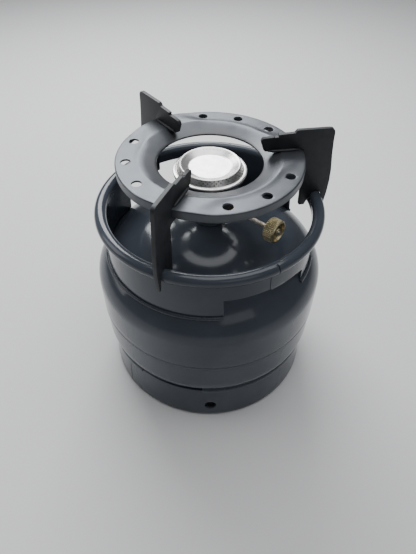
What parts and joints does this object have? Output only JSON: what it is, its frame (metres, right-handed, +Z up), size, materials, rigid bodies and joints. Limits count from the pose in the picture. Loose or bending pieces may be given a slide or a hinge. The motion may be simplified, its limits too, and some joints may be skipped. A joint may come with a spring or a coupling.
{
  "type": "camping gas cylinder with burner",
  "caption": "Squat welded gas cylinder with foot ring, rolled guard collar, screw-on burner with knurled control knob, and lift-off pan support with hooked arms.",
  "frame": {"origin": "centre of the foot ring, on the surface that the tank stands on", "axes": "+Z up along the vessel's axis; -Y is the front, where the low window of the collar opens towards the right; +X to the right"},
  "size_m": [0.263, 0.263, 0.3132],
  "materials": {
    "tank_paint": "glossy dark slate paint with slight runs at the welds",
    "brass": "machined brass, slightly dulled",
    "knob_plating": "pale yellow plated brass, diamond knurled",
    "spindle_steel": "turned and threaded steel, lightly oiled",
    "seal_rubber": "matt black rubber",
    "burner_black": "matt black heat-resistant paint",
    "burner_bright": "bright spun metal with fine concentric marks",
    "ring_coat": "satin grey metallic coat",
    "arm_black": "satin black paint over sheared plate"
  },
  "bodies": {
    "tank": {"vessel_lower_shell": "tank_paint", "vessel_upper_shell": "tank_paint", "girth_weld": "tank_paint", "valve_boss": "tank_paint", "boss_weld": "tank_paint", "foot_ring": "tank_paint", "foot_ring_weld": "tank_paint", "collar": "tank_paint", "collar_weld_1": "tank_paint", "collar_weld_2": "tank_paint", "collar_weld_3": "tank_paint", "cylinder_valve_body": "tank_paint", "spring_retainer": "brass", "valve_spring": "spindle_steel", "inlet_seal": "seal_rubber", "burner_valve_body": "burner_black", "depressor_pin": "spindle_steel", "gland_packing": "seal_rubber", "gland_nut": "brass", "injector": "brass", "mixing_tube": "burner_black", "burner_pot": "burner_black", "burner_head": "burner_bright"},
    "poppet": {"valve_poppet": "brass", "poppet_seal": "seal_rubber"},
    "plug": {"shutoff_plug": "brass"},
    "control": {"control_spindle": "spindle_steel", "control_knob": "knob_plating"},
    "pan_support": {"support_ring": "ring_coat", "support_arm_1": "arm_black", "support_arm_2": "arm_black", "support_arm_3": "arm_black", "support_arm_weld_1": "arm_black", "support_arm_weld_2": "arm_black", "support_arm_weld_3": "arm_black"}
  },
  "joints": [
    {"name": "plug_travel", "type": "slide", "parent": "tank", "child": "plug", "axis": [0.766, -0.6428, 0], "range_m": [0, 0.0012]},
    {"name": "knob_turn", "type": "hinge", "parent": "plug", "child": "control", "pos_m": [0.06128, -0.05142, 0.24], "axis": [0.766, -0.6428, 0], "range_deg": [0, 540]},
    {"name": "poppet_travel", "type": "slide", "parent": "tank", "child": "poppet", "axis": [0, 0, -1], "range_m": [0, 0.0015], "stiffness_N_per_m": 600, "springref_m": -0.003, "deforming": ["valve_spring"]},
    {"name": "pan_support_lift", "type": "slide", "parent": "tank", "child": "pan_support", "axis": [0, 0, 1], "range_m": [0, 0.1]}
  ],
  "couplings": [
    {"joint": "knob_turn", "follows": "plug_travel", "rad_per_m": 7854}
  ]
}
